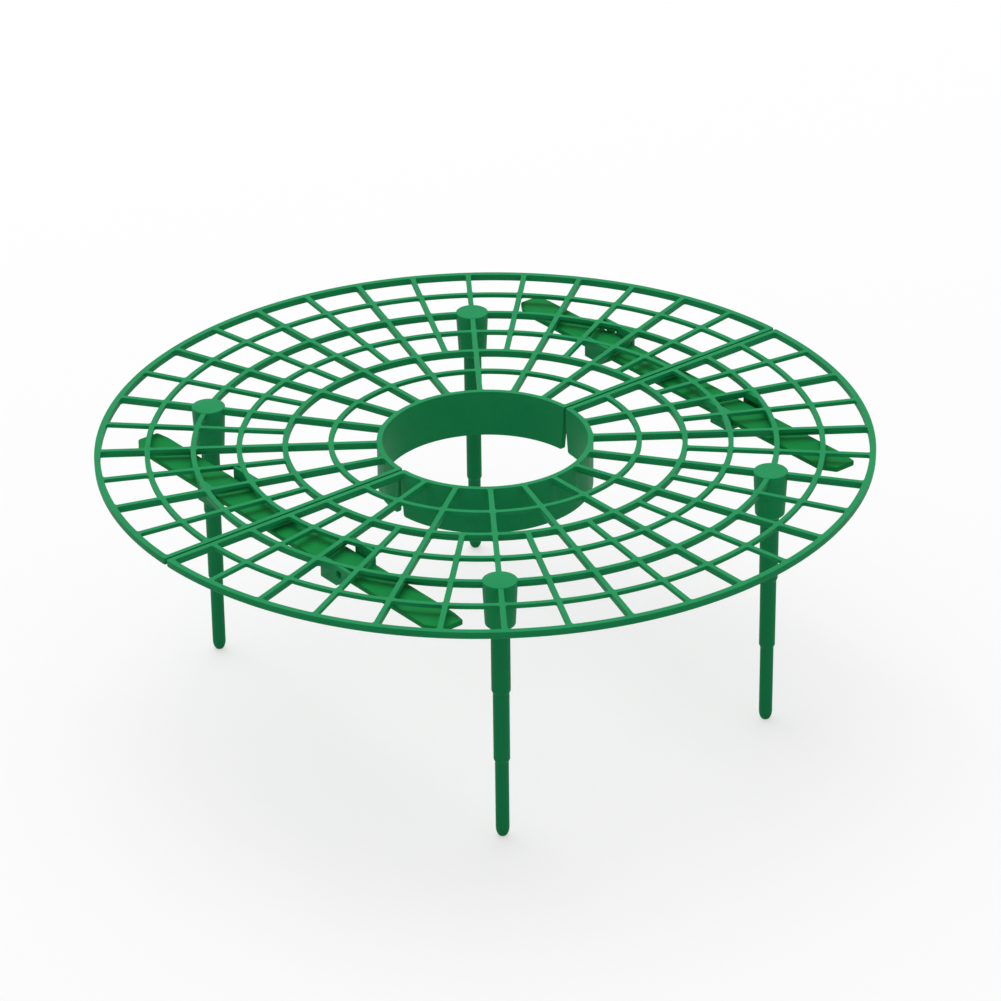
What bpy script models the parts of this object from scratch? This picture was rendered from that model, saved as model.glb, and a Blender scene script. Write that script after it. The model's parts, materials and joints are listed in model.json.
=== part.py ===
"""Strawberry plant support: a round grid in two halves, two joining bars and four push-in stakes.

The grid is an open wheel of rings and spokes round a collar for the plant's crown. It is cut
along the X axis, so that its halves close round a growing plant. A flat bar slides through a
trough under each half and holds them together. Units are metres and +Z is up. The origin is on
the ground under the centre of the collar, at the tips of the stakes.
"""

import math

import bmesh
import bpy

# Grid: circular members, from the rim inwards
GRID_RADIUS = 0.150
RIM_WIDTH = 0.0024
RIM_BAND = 0.0191
RING_PITCH = 0.0176
MEMBER_WIDTH = 0.0020

# Grid: depths below its flat top
SLIM_DEPTH = 0.0015
DEEP_DEPTH = 0.0028
RIB_INSET = 0.00012
DEEP_RINGS = (1, 3)

# Grid: full spokes part each half into bays, and short spokes halve the outer bays
BAYS_PER_HALF = 10
SHORT_SPOKE_RING = 3
SEAM_GAP = 0.0009

# Collar round the plant
COLLAR_OUTER_RADIUS = 0.0417
COLLAR_WALL = 0.0021
COLLAR_DEPTH = 0.0191
COLLAR_END_SETBACK = 0.0019

# Sockets for the stakes
SOCKET_RING = 1
SOCKET_BAY = 3
SOCKET_WALL = 0.0018
SOCKET_TAPER = 0.0009
SOCKET_DEPTH = 0.019
SOCKET_EDGE = 0.0013
SOCKET_PROUD = 0.0002
SOCKET_ROOF = 0.002
CORE_RADIUS = 0.0024

# Stakes
STAKE_LENGTH = 0.098
STAKE_ENGAGEMENT = 0.008
STAKE_RADIUS = 0.0036
STAKE_MIDDLE_RADIUS = 0.0031
STAKE_LOWER_RADIUS = 0.0026
STAKE_FIRST_STEP = 0.063
STAKE_SECOND_STEP = 0.0335
STAKE_STEP_SLOPE = 0.001
STAKE_HEAD_EDGE = 0.0004
STAKE_TIP_LENGTH = 0.004
STAKE_TIP_FLAT = 0.0008

# Joining bars; each end is cut back on the left and tapers a little on the right
BAR_OFFSET = 0.0955
BAR_LENGTH = 0.191
BAR_SLID_FORWARD = 0.0036
BAR_WIDTH = 0.014
BAR_THICKNESS = 0.0022
BAR_CUT_LENGTH = 0.006
BAR_CUT_WIDTH = 0.004
BAR_TAPER_LENGTH = 0.0065
BAR_TAPER_WIDTH = 0.001
BAR_EDGE = 0.0005
BAR_HEADROOM = 0.0013

# Troughs that hold the bars; each starts at a full spoke, and its inner wall is notched there
TROUGH_BAY = 1
TROUGH_LENGTH = 0.0125
TROUGH_NOTCH_LENGTH = 0.005
TROUGH_WALL = 0.0018
TROUGH_FLOOR = 0.0020
TROUGH_TOP_DROP = 0.0002
TROUGH_SIDE_PLAY = 0.0005
TROUGH_HOLE_RADIUS = 0.0015
TROUGH_HOLE_DISTANCE = 0.0118
TROUGH_HOLE_HEIGHT = 0.0008
TROUGH_END_HEIGHT = 0.0056
GUSSET_LENGTH = 0.0044
GUSSET_WIDTH = 0.0018

# Fits and fineness
FIT_GAP = 0.0003
CUT_MARGIN = 0.002
ARC_STEP = math.radians(4.5)
ROUND_STEPS = 20
TIP_POINTS = 4

BAY = math.pi / BAYS_PER_HALF
SOCKET_BAYS = (SOCKET_BAY, BAYS_PER_HALF - SOCKET_BAY)
GRID_TOP = STAKE_LENGTH - STAKE_ENGAGEMENT + SOCKET_DEPTH
COLLAR_INNER_RADIUS = COLLAR_OUTER_RADIUS - COLLAR_WALL
SEAM_EDGE = SEAM_GAP / 2
BAR_TOP = GRID_TOP - DEEP_DEPTH - BAR_HEADROOM
BAR_BOTTOM = BAR_TOP - BAR_THICKNESS
TROUGH_FLOOR_TOP = BAR_BOTTOM - FIT_GAP
BORE_RADIUS = STAKE_RADIUS + FIT_GAP
SOCKET_MOUTH_RADIUS = BORE_RADIUS + SOCKET_WALL
TROUGH_HALF_WIDTH = BAR_WIDTH / 2 + TROUGH_SIDE_PLAY
TROUGH_INNER_FACES = (BAR_OFFSET - TROUGH_HALF_WIDTH - TROUGH_WALL, BAR_OFFSET - TROUGH_HALF_WIDTH)
TROUGH_OUTER_FACES = (BAR_OFFSET + TROUGH_HALF_WIDTH, BAR_OFFSET + TROUGH_HALF_WIDTH + TROUGH_WALL)
TROUGH_SLOPE = math.tan(TROUGH_BAY * BAY)
SHORT_SPOKE_SLOPE = math.tan((TROUGH_BAY + 0.5) * BAY)
TROUGH_START = TROUGH_INNER_FACES[0] * TROUGH_SLOPE + TROUGH_NOTCH_LENGTH
TROUGH_END = BAR_OFFSET * TROUGH_SLOPE + TROUGH_LENGTH

GRID_GREEN = (0.010, 0.262, 0.088, 1.0)
BAR_GREEN = (0.007, 0.225, 0.048, 1.0)
STAKE_GREEN = (0.009, 0.222, 0.074, 1.0)
PLASTIC_ROUGHNESS = 0.42


def clear_scene():
    """Removes every object that the file holds."""
    for obj in list(bpy.data.objects):
        bpy.data.objects.remove(obj, do_unlink=True)


def new_collection(name):
    """Adds a collection to the scene."""
    collection = bpy.data.collections.new(name)
    bpy.context.scene.collection.children.link(collection)
    return collection


def plastic(name, colour):
    """A satin moulded plastic."""
    material = bpy.data.materials.new(name)
    material.use_nodes = True
    shader = material.node_tree.nodes["Principled BSDF"]
    shader.inputs["Base Color"].default_value = colour
    shader.inputs["Roughness"].default_value = PLASTIC_ROUGHNESS
    shader.inputs["Metallic"].default_value = 0.0
    return material


def place(mesh, name, collection):
    """A new object for a mesh, in a collection."""
    obj = bpy.data.objects.new(name, mesh)
    collection.objects.link(obj)
    return obj


def made_mesh(source, collection):
    """Replaces an object by one with its evaluated, welded mesh and the same name and place."""
    bpy.context.view_layer.update()
    evaluated = source.evaluated_get(bpy.context.evaluated_depsgraph_get())
    mesh = bpy.data.meshes.new_from_object(evaluated)
    frame = source.matrix_world.copy()
    name = source.name
    bpy.data.objects.remove(source, do_unlink=True)
    shape = bmesh.new()
    shape.from_mesh(mesh)
    bmesh.ops.remove_doubles(shape, verts=shape.verts, dist=1e-6)
    bmesh.ops.recalc_face_normals(shape, faces=shape.faces)
    shape.to_mesh(mesh)
    shape.free()
    mesh.transform(frame)
    return place(mesh, name, collection)


def flat_shape(name, loops, low, high, collection):
    """An extruded flat outline: the first loop is its edge, and the others are holes in it."""
    data = bpy.data.curves.new(name, "CURVE")
    data.dimensions = "2D"
    data.fill_mode = "BOTH"
    data.extrude = (high - low) / 2
    for loop in loops:
        spline = data.splines.new("POLY")
        spline.points.add(len(loop) - 1)
        for point, (x, y) in zip(spline.points, loop):
            point.co = (x, y, 0.0, 1.0)
        spline.use_cyclic_u = True
    curve = place(data, name, collection)
    curve.location.z = (high + low) / 2
    return made_mesh(curve, collection)


def turned(name, profile, collection):
    """A shape turned about Z from a profile of radii and heights that runs from top to bottom."""
    mesh = bpy.data.meshes.new(name)
    points = [(radius, 0.0, height) for radius, height in profile]
    edges = [(index, index + 1) for index in range(len(points) - 1)]
    mesh.from_pydata(points, edges, [])
    obj = place(mesh, name, collection)
    screw = obj.modifiers.new("turn", "SCREW")
    screw.axis = "Z"
    screw.steps = ROUND_STEPS
    screw.render_steps = ROUND_STEPS
    screw.use_merge_vertices = True
    screw.merge_threshold = 0.00001
    return made_mesh(obj, collection)


def box(name, low, high, collection):
    """A box between two corners."""
    shape = bmesh.new()
    bmesh.ops.create_cube(shape, size=1.0)
    for vertex in shape.verts:
        for axis in range(3):
            middle = (low[axis] + high[axis]) / 2
            vertex.co[axis] = middle + vertex.co[axis] * (high[axis] - low[axis])
    mesh = bpy.data.meshes.new(name)
    shape.to_mesh(mesh)
    shape.free()
    return place(mesh, name, collection)


def combine(target, tools, operation, collection):
    """Joins the tools to the target, or cuts them from it, one after another."""
    for tool in tools:
        boolean = target.modifiers.new(tool.name, "BOOLEAN")
        boolean.operation = operation
        boolean.solver = "EXACT"
        boolean.object = tool
    result = made_mesh(target, collection)
    for tool in tools:
        bpy.data.objects.remove(tool, do_unlink=True)
    return result


def arc(radius, start, end):
    """Points on a circle about the origin, from one angle to another."""
    count = max(1, round(abs(end - start) / ARC_STEP))
    angles = (start + (end - start) * index / count for index in range(count + 1))
    return [(radius * math.cos(angle), radius * math.sin(angle)) for angle in angles]


def half_band(outer, inner, seam):
    """The outline of a half ring that stops at a distance from the X axis."""
    outside = math.asin(seam / outer)
    inside = math.asin(seam / inner)
    return arc(outer, outside, math.pi - outside) + arc(inner, math.pi - inside, inside)


def ring_radii():
    """The middle radius of each ring that fits between the rim and the collar, from outside in."""
    radius = GRID_RADIUS - RIM_WIDTH / 2 - RIM_BAND
    radii = []
    while radius > COLLAR_OUTER_RADIUS + 2 * MEMBER_WIDTH:
        radii.append(radius)
        radius -= RING_PITCH
    return radii


def cell(outer, inner, first, last, inset):
    """The opening between two circles and two spokes, which are counted in bays."""

    def turn(radius, spoke, side):
        if spoke in (0, BAYS_PER_HALF):
            face = SEAM_EDGE + MEMBER_WIDTH - inset
        else:
            face = MEMBER_WIDTH / 2 - inset
        return spoke * BAY + side * math.asin(face / radius)

    outside = arc(outer, turn(outer, first, 1), turn(outer, last, -1))
    inside = arc(inner, turn(inner, last, -1), turn(inner, first, 1))
    return outside + inside


def wheel(name, rings, cells_per_bay, inner_radius, inset, low, high, collection):
    """A half wheel of rings and spokes, each narrower than its full width by twice the inset.

    cells_per_bay gives, for each band between circles from the rim inwards, how many cells a
    bay holds: two where a short spoke halves it, otherwise one.
    """
    half_width = MEMBER_WIDTH / 2 - inset
    circles = [GRID_RADIUS - RIM_WIDTH + inset]
    for radius in rings:
        circles += [radius + half_width, radius - half_width]
    circles.append(COLLAR_OUTER_RADIUS - inset)
    loops = [half_band(GRID_RADIUS - inset, inner_radius, SEAM_EDGE + inset)]
    for band, cells in enumerate(cells_per_bay):
        outer, inner = circles[2 * band : 2 * band + 2]
        for index in range(BAYS_PER_HALF * cells):
            loops.append(cell(outer, inner, index / cells, (index + 1) / cells, inset))
    return flat_shape(name, loops, low, high, collection)


def socket_place(bay):
    """Where a socket stands on its ring, by the full spoke that it straddles."""
    angle = bay * BAY
    radius = ring_radii()[SOCKET_RING]
    return radius * math.cos(angle), radius * math.sin(angle)


def socket(bay, collection):
    """The tapered boss that takes a stake's head; its closed top is a flat cap in the grid."""
    top = GRID_TOP + SOCKET_PROUD
    mouth = GRID_TOP - SOCKET_DEPTH
    profile = [
        (0.0, top),
        (SOCKET_MOUTH_RADIUS + SOCKET_TAPER, top),
        (SOCKET_MOUTH_RADIUS, mouth + SOCKET_EDGE),
        (SOCKET_MOUTH_RADIUS - SOCKET_EDGE, mouth),
        (0.0, mouth),
    ]
    boss = turned(f"socket_{bay}", profile, collection)
    x, y = socket_place(bay)
    boss.location = (x, y, 0.0)
    return boss


def socket_bore(bay, collection):
    """The bore for a stake's head, and the narrower core above the shoulder that stops it."""
    mouth = GRID_TOP - SOCKET_DEPTH
    shoulder = mouth + STAKE_ENGAGEMENT + FIT_GAP
    profile = [
        (0.0, GRID_TOP - SOCKET_ROOF),
        (CORE_RADIUS, GRID_TOP - SOCKET_ROOF),
        (CORE_RADIUS, shoulder),
        (BORE_RADIUS, shoulder),
        (BORE_RADIUS, mouth - CUT_MARGIN),
        (0.0, mouth - CUT_MARGIN),
    ]
    bore = turned(f"bore_{bay}", profile, collection)
    x, y = socket_place(bay)
    bore.location = (x, y, 0.0)
    return bore


def trough_wall(side, faces, ends, collection):
    """A wall of a trough, between two faces of constant X, from the spoke to its ends."""
    plan = [(x, x * TROUGH_SLOPE) for x in faces]
    plan += reversed(list(zip(faces, ends)))
    plan = [(side * x, y) for x, y in plan]
    low = TROUGH_FLOOR_TOP - TROUGH_FLOOR
    return flat_shape(f"wall_{side}", [plan], low, GRID_TOP - TROUGH_TOP_DROP, collection)


def trough(side, has_long_wall, collection):
    """The pieces of the open trough under the grid that a bar slides through.

    The outer wall starts at the spoke. The inner wall is only as deep as the spoke beside it, and
    comes down with the floor a little further on. A long outer wall runs on to the short spoke
    while its lower edge slopes up, and has a small hole.
    """
    middle = side * BAR_OFFSET
    low = TROUGH_FLOOR_TOP - TROUGH_FLOOR
    notch_half = TROUGH_WALL / 2 + CUT_MARGIN
    notch_middle = side * sum(TROUGH_INNER_FACES) / 2
    notch = box(
        "notch",
        (notch_middle - notch_half, 0.0, low - CUT_MARGIN),
        (notch_middle + notch_half, TROUGH_START, GRID_TOP - DEEP_DEPTH + RIB_INSET),
        collection,
    )
    inner = trough_wall(side, TROUGH_INNER_FACES, (TROUGH_END, TROUGH_END), collection)
    inner = combine(inner, [notch], "DIFFERENCE", collection)
    floor_half = TROUGH_HALF_WIDTH + TROUGH_WALL / 2
    floor = box(
        "floor",
        (middle - floor_half, TROUGH_START + RIB_INSET, low + RIB_INSET),
        (middle + floor_half, TROUGH_END - RIB_INSET, TROUGH_FLOOR_TOP),
        collection,
    )
    if not has_long_wall:
        outer = trough_wall(side, TROUGH_OUTER_FACES, (TROUGH_END, TROUGH_END), collection)
        return [inner, floor, outer]
    ends = [x * SHORT_SPOKE_SLOPE for x in TROUGH_OUTER_FACES]
    outer = trough_wall(side, TROUGH_OUTER_FACES, ends, collection)
    cutters = [trough_hole(side, collection), long_wall_slope(collection)]
    outer = combine(outer, cutters, "DIFFERENCE", collection)
    return [inner, floor, outer]


def across(name, section, reach, collection):
    """A cutter with an outline in Y and Z, which runs along X to a distance on either side."""
    cutter = flat_shape(name, [section], -reach, reach, collection)
    cutter.rotation_euler = (math.pi / 2, 0.0, math.pi / 2)
    return cutter


def long_wall_slope(collection):
    """What is cut away under the far part of a long trough wall."""
    low = TROUGH_FLOOR_TOP - TROUGH_FLOOR
    end = TROUGH_OUTER_FACES[0] * SHORT_SPOKE_SLOPE
    past = TROUGH_OUTER_FACES[1] * SHORT_SPOKE_SLOPE + CUT_MARGIN
    high = low + TROUGH_END_HEIGHT
    section = [(TROUGH_END, low), (end, high), (past, high)]
    section += [(past, low - CUT_MARGIN), (TROUGH_END, low - CUT_MARGIN)]
    return across("long_wall_slope", section, TROUGH_OUTER_FACES[1] + CUT_MARGIN, collection)


def trough_hole(side, collection):
    """The small cross hole through the long outer wall of a trough, just above the bar."""
    shape = bmesh.new()
    bmesh.ops.create_cone(
        shape,
        cap_ends=True,
        segments=ROUND_STEPS // 2,
        radius1=TROUGH_HOLE_RADIUS,
        radius2=TROUGH_HOLE_RADIUS,
        depth=TROUGH_WALL + 2 * CUT_MARGIN,
    )
    mesh = bpy.data.meshes.new("trough_hole")
    shape.to_mesh(mesh)
    shape.free()
    hole = place(mesh, "trough_hole", collection)
    hole.rotation_euler.y = math.pi / 2
    along = TROUGH_OUTER_FACES[0] * TROUGH_SLOPE + TROUGH_HOLE_DISTANCE
    middle = side * sum(TROUGH_OUTER_FACES) / 2
    hole.location = (middle, along, BAR_TOP + TROUGH_HOLE_HEIGHT)
    return hole


def gussets(side, collection):
    """The thin webs that fill the corners between a trough's walls and the spoke it starts at."""
    webs = []
    for face in (TROUGH_INNER_FACES[1], TROUGH_OUTER_FACES[1]):
        root = face - TROUGH_WALL / 2
        corner = face * TROUGH_SLOPE
        along = GUSSET_WIDTH * math.cos(TROUGH_BAY * BAY)
        plan = [
            (root, root * TROUGH_SLOPE),
            (face + along, (face + along) * TROUGH_SLOPE),
            (face, corner + GUSSET_LENGTH),
            (root, corner + GUSSET_LENGTH),
        ]
        plan = [(side * x, y) for x, y in plan]
        low = GRID_TOP - SLIM_DEPTH + RIB_INSET
        high = GRID_TOP - TROUGH_TOP_DROP - RIB_INSET
        webs.append(flat_shape(f"gusset_{side}", [plan], low, high, collection))
    return webs


def collar_ends(collection):
    """The wedge that slopes the collar's end faces back from the seam, down to its foot."""
    top = GRID_TOP - DEEP_DEPTH
    foot = GRID_TOP - COLLAR_DEPTH
    below = foot - CUT_MARGIN
    section = [(0.0, top), (COLLAR_END_SETBACK, foot), (COLLAR_END_SETBACK, below)]
    section += [(-CUT_MARGIN, below), (-CUT_MARGIN, top)]
    return across("collar_ends", section, COLLAR_OUTER_RADIUS + CUT_MARGIN, collection)


def half_grid_mesh(collection):
    """The moulding of one half of the grid, on the +Y side of the seam."""
    rings = ring_radii()
    cells = [2 if band <= SHORT_SPOKE_RING else 1 for band in range(len(rings) + 1)]
    slim_low = GRID_TOP - SLIM_DEPTH
    grid = wheel(
        "half_grid", rings, cells, COLLAR_INNER_RADIUS, 0.0, slim_low, GRID_TOP, collection
    )
    deep_rings = [radius for index, radius in enumerate(rings) if index in DEEP_RINGS]
    whole = [1] * (len(deep_rings) + 1)
    collar_middle = (COLLAR_INNER_RADIUS + COLLAR_OUTER_RADIUS) / 2
    deep_low = GRID_TOP - DEEP_DEPTH
    rib_top = GRID_TOP - SLIM_DEPTH / 2
    ribs = wheel(
        "ribs", deep_rings, whole, collar_middle, RIB_INSET, deep_low, rib_top, collection
    )
    wall = half_band(
        COLLAR_OUTER_RADIUS - 2 * RIB_INSET,
        COLLAR_INNER_RADIUS + 2 * RIB_INSET,
        SEAM_EDGE + 2 * RIB_INSET,
    )
    collar = flat_shape("collar", [wall], GRID_TOP - COLLAR_DEPTH, rib_top, collection)
    troughs = trough(-1, False, collection) + trough(1, True, collection)
    sockets = [socket(bay, collection) for bay in SOCKET_BAYS]
    bores = [socket_bore(bay, collection) for bay in SOCKET_BAYS]
    webs = [web for side in (-1, 1) for web in gussets(side, collection)]
    grid = combine(grid, [ribs, collar, *troughs, *webs, *sockets], "UNION", collection)
    grid = combine(grid, [*bores, collar_ends(collection)], "DIFFERENCE", collection)
    mesh = grid.data
    bpy.data.objects.remove(grid, do_unlink=True)
    mesh.name = "half_grid"
    return mesh


def stake_mesh(collection):
    """A round stake in three thicknesses, with a blunt rounded tip at the origin."""
    tip = []
    for index in range(1, TIP_POINTS + 1):
        angle = index * math.pi / 2 / (TIP_POINTS + 1)
        radius = STAKE_TIP_FLAT + (STAKE_LOWER_RADIUS - STAKE_TIP_FLAT) * math.cos(angle)
        tip.append((radius, STAKE_TIP_LENGTH * (1 - math.sin(angle))))
    profile = [
        (0.0, STAKE_LENGTH),
        (STAKE_RADIUS - STAKE_HEAD_EDGE, STAKE_LENGTH),
        (STAKE_RADIUS, STAKE_LENGTH - STAKE_HEAD_EDGE),
        (STAKE_RADIUS, STAKE_FIRST_STEP),
        (STAKE_MIDDLE_RADIUS, STAKE_FIRST_STEP - STAKE_STEP_SLOPE),
        (STAKE_MIDDLE_RADIUS, STAKE_SECOND_STEP),
        (STAKE_LOWER_RADIUS, STAKE_SECOND_STEP - STAKE_STEP_SLOPE),
        (STAKE_LOWER_RADIUS, STAKE_TIP_LENGTH),
        *tip,
        (STAKE_TIP_FLAT, 0.0),
        (0.0, 0.0),
    ]
    obj = turned("stake", profile, collection)
    mesh = obj.data
    bpy.data.objects.remove(obj, do_unlink=True)
    mesh.name = "stake"
    return mesh


def bar_mesh(collection):
    """A flat joining bar, centred on its own middle, with both ends cut back on the left."""
    half = BAR_WIDTH / 2
    tip = BAR_LENGTH / 2
    upper = [
        (half, tip - BAR_TAPER_LENGTH),
        (half - BAR_TAPER_WIDTH, tip),
        (BAR_CUT_WIDTH - half, tip),
        (-half, tip - BAR_CUT_LENGTH),
    ]
    lower = [(x, -y) for x, y in reversed(upper)]
    obj = flat_shape(
        "bar", [upper + lower], -BAR_THICKNESS / 2, BAR_THICKNESS / 2, collection
    )
    bevel = obj.modifiers.new("edge", "BEVEL")
    bevel.width = BAR_EDGE
    bevel.segments = 1
    bevel.limit_method = "ANGLE"
    obj = made_mesh(obj, collection)
    mesh = obj.data
    bpy.data.objects.remove(obj, do_unlink=True)
    mesh.name = "bar"
    return mesh


def shade(mesh, material):
    """Gives a mesh its material and smooth round sides."""
    mesh.materials.clear()
    mesh.materials.append(material)
    mesh.shade_smooth()
    mesh.set_sharp_from_angle(angle=math.radians(30))


def build_grid(collection):
    """Both halves of the grid, the front one turned half a turn."""
    mesh = half_grid_mesh(collection)
    for name, turn in (("back_grid_half", 0.0), ("front_grid_half", math.pi)):
        own = mesh.copy()
        shade(own, plastic(name, GRID_GREEN))
        half = place(own, name, collection)
        half.rotation_euler.z = turn


def build_stakes(collection):
    """A stake in each socket, with its tip on the ground."""
    mesh = stake_mesh(collection)
    for bay in SOCKET_BAYS:
        x, y = socket_place(bay)
        side = "right" if x > 0 else "left"
        for end, sign in (("back", 1), ("front", -1)):
            name = f"stake_{end}_{side}"
            own = mesh.copy()
            shade(own, plastic(name, STAKE_GREEN))
            stake = place(own, name, collection)
            stake.location = (x, sign * y, 0.0)


def build_bars(collection):
    """A bar in each pair of troughs, across the seam."""
    mesh = bar_mesh(collection)
    for name, side in (("joining_bar_left", -1), ("joining_bar_right", 1)):
        own = mesh.copy()
        shade(own, plastic(name, BAR_GREEN))
        bar = place(own, name, collection)
        bar.location = (side * BAR_OFFSET, -BAR_SLID_FORWARD, BAR_TOP - BAR_THICKNESS / 2)


def main():
    """Builds the whole support."""
    clear_scene()
    collection = new_collection("strawberry_plant_support")
    build_grid(collection)
    build_stakes(collection)
    build_bars(collection)


main()
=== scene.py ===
"""Dresses the strawberry plant support and sets it on a pale studio floor.

The support is a round grid of rings and spokes in two halves, with a collar for the plant's crown,
two flat bars that slide through troughs under the grid, and four push-in stakes. Units are metres
and +Z is up. The origin is on the floor under the centre of the collar.
"""

import json
import logging
import math
from dataclasses import dataclass
from enum import Enum

import bmesh
import bpy
from bpy.types import Material, Mesh, Node, NodeSocket, NodeTree, Object
from mathutils import Euler, Matrix, Vector

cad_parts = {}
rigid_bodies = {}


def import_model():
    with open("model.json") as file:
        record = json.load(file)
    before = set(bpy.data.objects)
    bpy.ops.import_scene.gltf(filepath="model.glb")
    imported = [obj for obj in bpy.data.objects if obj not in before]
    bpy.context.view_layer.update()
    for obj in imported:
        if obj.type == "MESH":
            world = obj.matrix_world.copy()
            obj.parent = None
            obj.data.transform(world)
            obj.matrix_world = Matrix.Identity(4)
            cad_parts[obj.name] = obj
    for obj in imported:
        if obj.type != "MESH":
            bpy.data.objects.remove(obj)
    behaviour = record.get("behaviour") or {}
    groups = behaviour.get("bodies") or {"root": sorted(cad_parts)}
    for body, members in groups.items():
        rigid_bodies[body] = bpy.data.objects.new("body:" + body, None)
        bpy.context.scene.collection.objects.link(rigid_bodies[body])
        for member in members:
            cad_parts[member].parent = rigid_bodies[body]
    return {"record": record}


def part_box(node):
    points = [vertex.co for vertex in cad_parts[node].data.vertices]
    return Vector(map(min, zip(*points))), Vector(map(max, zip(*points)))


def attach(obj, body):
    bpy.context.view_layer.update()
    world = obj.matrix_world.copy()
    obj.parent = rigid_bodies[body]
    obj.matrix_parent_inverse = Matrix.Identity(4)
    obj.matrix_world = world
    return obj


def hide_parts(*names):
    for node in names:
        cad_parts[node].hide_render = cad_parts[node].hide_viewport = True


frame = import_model()

PICTURE_WIDTH = 1001
WHITE = (1.0, 1.0, 1.0, 1.0)

# Distances within which points count as one, in metres
WELD = 1e-7
SLIVER = 1e-6

# The least turn between two faces at which their edge is rounded
SHARP_ANGLE = math.radians(50.0)

# How much large faces count where shading is smoothed; at 50 they count as small ones do
LARGE_FACES = 80

# The numbers of a Mix node's colour inputs and colour output
MIX_FIRST = 6
MIX_SECOND = 7
MIX_RESULT = 2

Point2 = tuple[float, float]
Point3 = tuple[float, float, float]
Colour = tuple[float, float, float]
Value = NodeSocket | float | int | tuple
Feeds = dict[str | int, Value]

log = logging.getLogger("strawberry_support")


class End(Enum):
    """The two halves of the grid, with how far each is turned about Z from the back one."""

    BACK = 0.0
    FRONT = math.pi


class Side(Enum):
    """The left and the right of the support, by the sign of X."""

    LEFT = -1
    RIGHT = 1


class Grain(Enum):
    """How the marks of moulding and handling are drawn out on a piece, as scales along X, Y, Z."""

    EVEN = (1.0, 1.0, 1.0)
    ALONG_BAR = (1.0, 0.12, 1.0)
    ALONG_STAKE = (1.0, 1.0, 0.10)


class Graph:
    """Short ways to add and link the nodes of one tree."""

    def __init__(self, tree: NodeTree) -> None:
        """Keeps the tree that the nodes go in."""
        self.tree = tree

    def feed(self, node: Node, feeds: Feeds) -> None:
        """Links other nodes' outputs to a node's inputs, or sets the inputs to plain values.

        Args:
            node: The node that is fed.
            feeds: What goes into its inputs, by the inputs' names or numbers.
        """
        for key, value in feeds.items():
            if isinstance(value, NodeSocket):
                self.tree.links.new(value, node.inputs[key])
            else:
                node.inputs[key].default_value = value

    def add(self, kind: str, feeds: Feeds | None = None, **settings: str | NodeTree) -> Node:
        """Adds a node.

        Args:
            kind: The node's type, as Blender names it.
            feeds: What goes into the node's inputs, by the inputs' names or numbers.
            settings: The node's own properties.

        Returns:
            The new node.
        """
        node = self.tree.nodes.new(kind)
        for name, setting in settings.items():
            setattr(node, name, setting)
        self.feed(node, feeds or {})
        return node

    def math(self, operation: str, *values: Value) -> NodeSocket:
        """Works out one sum.

        Args:
            operation: The Math node's operation.
            values: What it works on.

        Returns:
            The result.
        """
        return self.add("ShaderNodeMath", dict(enumerate(values)), operation=operation).outputs[0]

    def join(self, *pieces: NodeSocket) -> NodeSocket:
        """Puts pieces of geometry together.

        Args:
            pieces: What is joined.

        Returns:
            The pieces as one geometry.
        """
        node = self.add("GeometryNodeJoinGeometry")
        for piece in pieces:
            self.feed(node, {"Geometry": piece})
        return node.outputs["Geometry"]

    def between(self, low: Value, high: Value, share: Value) -> NodeSocket:
        """Goes from one value to another.

        Args:
            low: The value at a share of 0.
            high: The value at a share of 1.
            share: How far to go.

        Returns:
            The value at that share.
        """
        span = self.math("SUBTRACT", high, low)
        return self.math("MULTIPLY_ADD", span, share, low)


def new_group(
    name: str, kind: str, inputs: dict[str, str], outputs: dict[str, str]
) -> tuple[Graph, dict[str, NodeSocket], Node]:
    """Starts a node group.

    Args:
        name: The group's name.
        kind: The type of tree.
        inputs: The socket type of each input, by name.
        outputs: The socket type of each output, by name.

    Returns:
        The graph to build in, the group's inputs by name, and its output node.
    """
    tree = bpy.data.node_groups.new(name, kind)
    for title, socket in inputs.items():
        tree.interface.new_socket(title, in_out="INPUT", socket_type=f"NodeSocket{socket}")
    for title, socket in outputs.items():
        tree.interface.new_socket(title, in_out="OUTPUT", socket_type=f"NodeSocket{socket}")
    graph = Graph(tree)
    source = graph.add("NodeGroupInput")
    given = {title: source.outputs[title] for title in inputs}
    return graph, given, graph.add("NodeGroupOutput")


def place(name: str, mesh: Mesh) -> Object:
    """Puts a mesh in the scene, at the origin.

    Args:
        name: The new object's name.
        mesh: Its mesh.

    Returns:
        The new object.
    """
    obj = bpy.data.objects.new(name, mesh)
    bpy.context.scene.collection.objects.link(obj)
    return obj


def settled(obj: Object) -> Mesh:
    """Turns an object and its modifiers into one plain mesh and removes the object.

    Args:
        obj: The object to evaluate.

    Returns:
        Its evaluated mesh.
    """
    bpy.context.view_layer.update()
    evaluated = obj.evaluated_get(bpy.context.evaluated_depsgraph_get())
    mesh = bpy.data.meshes.new_from_object(evaluated)
    bpy.data.objects.remove(obj, do_unlink=True)
    return mesh


def add_rounding(obj: Object, width: float, segments: int, limit: str) -> None:
    """Rounds an object's edges.

    Args:
        obj: The object.
        width: How far the rounding reaches from an edge.
        segments: How many steps it takes.
        limit: WEIGHT for the edges that carry a weight, ANGLE for the sharp ones.
    """
    bevel = obj.modifiers.new("rounding", "BEVEL")
    bevel.width = width
    bevel.segments = segments
    bevel.limit_method = limit
    bevel.angle_limit = SHARP_ANGLE
    bevel.loop_slide = False


def rounded(mesh: Mesh, width: float, segments: int = 2) -> Mesh:
    """Rounds a mesh's sharp edges.

    Args:
        mesh: The mesh, which is used up.
        width: How far the rounding reaches from an edge.
        segments: How many steps it takes.

    Returns:
        The rounded mesh.
    """
    obj = place("rounded", mesh)
    add_rounding(obj, width, segments, "ANGLE")
    return settled(obj)


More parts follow.
